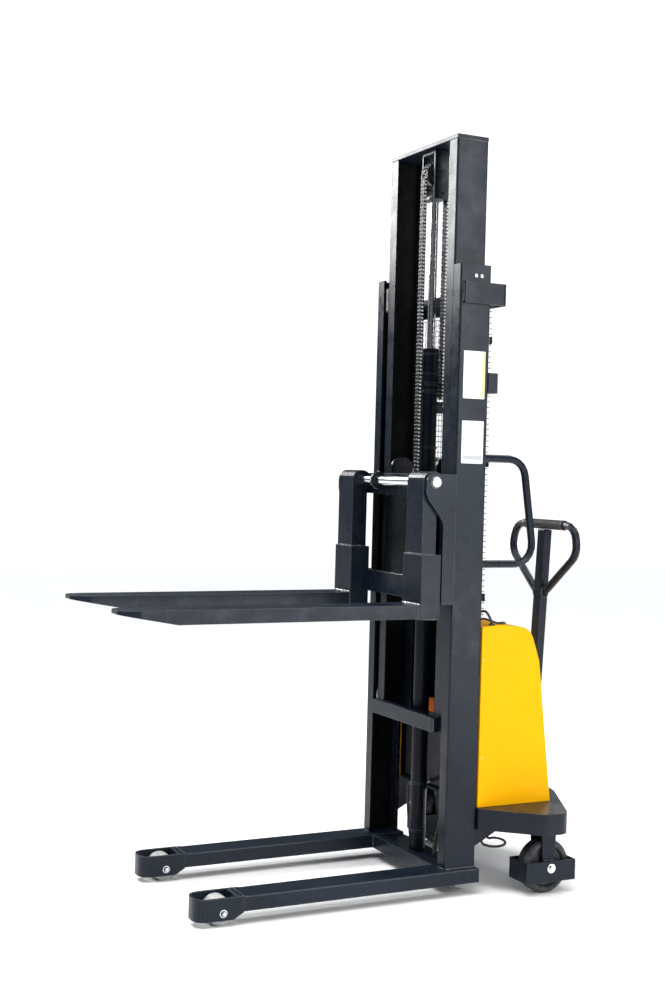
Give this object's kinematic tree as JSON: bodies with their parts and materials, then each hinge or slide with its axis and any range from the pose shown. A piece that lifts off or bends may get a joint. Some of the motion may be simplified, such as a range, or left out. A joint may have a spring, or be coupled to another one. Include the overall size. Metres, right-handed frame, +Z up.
{
  "type": "walkie stacker",
  "caption": "Pedestrian forklift: telescoping mast on straddle legs, forks raised by a cylinder and leaf chain, yellow power cover, swivel castors and a tiller.",
  "frame": {"origin": "on the floor, in the middle of the bounding box's footprint", "axes": "+Z up, the forks point to -Y, the operator stands at +Y, the operator's left is +X when facing the forks"},
  "size_m": [0.902, 1.7144, 2.5145],
  "materials": {
    "frame_paint": "satin charcoal paint",
    "cover_paint": "satin yellow paint",
    "bright_chrome": "polished",
    "zinc_wire": "zinc plated",
    "nylon": "matt",
    "tyre_rubber": "matt",
    "grip_rubber": "matt",
    "bare_steel": "oiled",
    "battery_case": "matt",
    "connector": "matt",
    "red_plastic": "gloss"
  },
  "bodies": {
    "chassis": {"outer_upright_left": "frame_paint", "outer_upright_right": "frame_paint", "guide_pad_left": "nylon", "guide_pad_right": "nylon", "leg_left": "frame_paint", "leg_right": "frame_paint", "grab_handle_left": "frame_paint", "grab_handle_right": "frame_paint", "top_strap": "frame_paint", "rear_crossbar": "frame_paint", "mesh_guard": "zinc_wire", "base_beam": "frame_paint", "lift_cylinder": "frame_paint", "chain_rear": "bare_steel", "platform": "frame_paint", "cover": "cover_paint", "battery": "battery_case", "pump_motor": "frame_paint", "oil_tank": "battery_case", "power_connector": "connector", "battery_cable": "grip_rubber", "hydraulic_hose": "grip_rubber"},
    "inner_mast": {"inner_upright_left": "frame_paint", "inner_upright_right": "frame_paint", "inner_top_plate": "frame_paint", "inner_crossbar": "frame_paint", "piston_rod": "bright_chrome", "sheave_bracket": "frame_paint", "chain_front": "bare_steel"},
    "sheave": {"chain_sheave": "bare_steel"},
    "carriage": {"carriage_plate_left": "frame_paint", "carriage_plate_right": "frame_paint", "carriage_beam": "frame_paint", "carriage_foot_plate": "frame_paint", "fork_bar": "bright_chrome", "fork_bar_collar": "frame_paint", "roller_bracket_left": "frame_paint", "roller_bracket_right": "frame_paint"},
    "turret": {"tiller_turret": "frame_paint"},
    "tiller": {"tiller_pole": "frame_paint", "tiller_loop": "frame_paint", "tiller_grip": "grip_rubber"},
    "stop_button": {"emergency_stop": "red_plastic"},
    "control_lever": {"lift_lever": "grip_rubber"},
    "mast_roller_left": {"mast_roller_left": "bare_steel"},
    "carriage_roller_lower_left": {"carriage_roller_lower_left": "bare_steel"},
    "carriage_roller_upper_left": {"carriage_roller_upper_left": "bare_steel"},
    "fork_left": {"fork_left": "frame_paint"},
    "load_roller_left": {"load_roller_left": "nylon"},
    "castor_yoke_left": {"castor_yoke_left": "frame_paint"},
    "castor_wheel_left": {"castor_wheel_left": "tyre_rubber"},
    "mast_roller_right": {"mast_roller_right": "bare_steel"},
    "carriage_roller_lower_right": {"carriage_roller_lower_right": "bare_steel"},
    "carriage_roller_upper_right": {"carriage_roller_upper_right": "bare_steel"},
    "fork_right": {"fork_right": "frame_paint"},
    "load_roller_right": {"load_roller_right": "nylon"},
    "castor_yoke_right": {"castor_yoke_right": "frame_paint"},
    "castor_wheel_right": {"castor_wheel_right": "tyre_rubber"}
  },
  "joints": [
    {"name": "mast_lift", "type": "slide", "parent": "chassis", "child": "inner_mast", "axis": [0, 0, 1], "range_m": [-0.41, 0.95], "deforming": ["chain_rear"]},
    {"name": "carriage_lift", "type": "slide", "parent": "inner_mast", "child": "carriage", "axis": [0, 0, 1], "range_m": [-0.41, 0.95], "deforming": ["chain_front"]},
    {"name": "sheave_spin", "type": "hinge", "parent": "inner_mast", "child": "sheave", "pos_m": [0, 0.33782, 2.4175], "axis": [1, 0, 0], "continuous": true},
    {"name": "mast_roller_left_spin", "type": "hinge", "parent": "inner_mast", "child": "mast_roller_left", "pos_m": [0.2475, 0.33632, 0.5895], "axis": [1, 0, 0], "continuous": true},
    {"name": "carriage_roller_lower_left_spin", "type": "hinge", "parent": "carriage", "child": "carriage_roller_lower_left", "pos_m": [0.2025, 0.34782, 1.045], "axis": [1, 0, 0], "continuous": true},
    {"name": "carriage_roller_upper_left_spin", "type": "hinge", "parent": "carriage", "child": "carriage_roller_upper_left", "pos_m": [0.2025, 0.34782, 1.387], "axis": [1, 0, 0], "continuous": true},
    {"name": "fork_left_shift", "type": "slide", "parent": "carriage", "child": "fork_left", "axis": [1, 0, 0], "range_m": [-0.15, 0]},
    {"name": "load_roller_left_spin", "type": "hinge", "parent": "chassis", "child": "load_roller_left", "pos_m": [0.255, -0.50918, 0.042], "axis": [1, 0, 0], "continuous": true},
    {"name": "castor_left_swivel", "type": "hinge", "parent": "chassis", "child": "castor_yoke_left", "pos_m": [0.348, 0.62282, 0.215], "axis": [0, 0, 1], "continuous": true},
    {"name": "castor_wheel_left_spin", "type": "hinge", "parent": "castor_yoke_left", "child": "castor_wheel_left", "pos_m": [0.348, 0.62282, 0.09], "axis": [1, 0, 0], "continuous": true},
    {"name": "mast_roller_right_spin", "type": "hinge", "parent": "inner_mast", "child": "mast_roller_right", "pos_m": [-0.2475, 0.33632, 0.5895], "axis": [1, 0, 0], "continuous": true},
    {"name": "carriage_roller_lower_right_spin", "type": "hinge", "parent": "carriage", "child": "carriage_roller_lower_right", "pos_m": [-0.2025, 0.34782, 1.045], "axis": [1, 0, 0], "continuous": true},
    {"name": "carriage_roller_upper_right_spin", "type": "hinge", "parent": "carriage", "child": "carriage_roller_upper_right", "pos_m": [-0.2025, 0.34782, 1.387], "axis": [1, 0, 0], "continuous": true},
    {"name": "fork_right_shift", "type": "slide", "parent": "carriage", "child": "fork_right", "axis": [1, 0, 0], "range_m": [0, 0.1]},
    {"name": "load_roller_right_spin", "type": "hinge", "parent": "chassis", "child": "load_roller_right", "pos_m": [-0.255, -0.50918, 0.042], "axis": [1, 0, 0], "continuous": true},
    {"name": "castor_right_swivel", "type": "hinge", "parent": "chassis", "child": "castor_yoke_right", "pos_m": [-0.348, 0.62282, 0.215], "axis": [0, 0, 1], "continuous": true},
    {"name": "castor_wheel_right_spin", "type": "hinge", "parent": "castor_yoke_right", "child": "castor_wheel_right", "pos_m": [-0.348, 0.62282, 0.09], "axis": [1, 0, 0], "continuous": true},
    {"name": "tiller_swivel", "type": "hinge", "parent": "chassis", "child": "turret", "pos_m": [0, 0.79782, 0.285], "axis": [0, 0, 1], "range_deg": [-60, 60]},
    {"name": "tiller_tilt", "type": "hinge", "parent": "turret", "child": "tiller", "pos_m": [0, 0.79782, 0.342], "axis": [-1, 0, 0], "range_deg": [0, 65], "stiffness_Nm_per_rad": 60, "springref_deg": -14.32},
    {"name": "stop_press", "type": "slide", "parent": "chassis", "child": "stop_button", "axis": [0, -0.9923, -0.124], "range_m": [0, 0.004], "stiffness_N_per_m": 800, "springref_m": -0.002},
    {"name": "lever_turn", "type": "hinge", "parent": "chassis", "child": "control_lever", "pos_m": [0.1, 0.63923, 0.69], "axis": [0, 0.9923, 0.124], "range_deg": [-30, 30], "stiffness_Nm_per_rad": 0.5}
  ],
  "couplings": [
    {"joint": "carriage_lift", "follows": "mast_lift", "ratio": 1},
    {"joint": "sheave_spin", "follows": "mast_lift", "rad_per_m": -22.222},
    {"joint": "mast_roller_left_spin", "follows": "mast_lift", "rad_per_m": -21.277},
    {"joint": "carriage_roller_lower_left_spin", "follows": "mast_lift", "rad_per_m": -20.619},
    {"joint": "carriage_roller_upper_left_spin", "follows": "mast_lift", "rad_per_m": 20.619},
    {"joint": "mast_roller_right_spin", "follows": "mast_lift", "rad_per_m": -21.277},
    {"joint": "carriage_roller_lower_right_spin", "follows": "mast_lift", "rad_per_m": -20.619},
    {"joint": "carriage_roller_upper_right_spin", "follows": "mast_lift", "rad_per_m": 20.619}
  ]
}
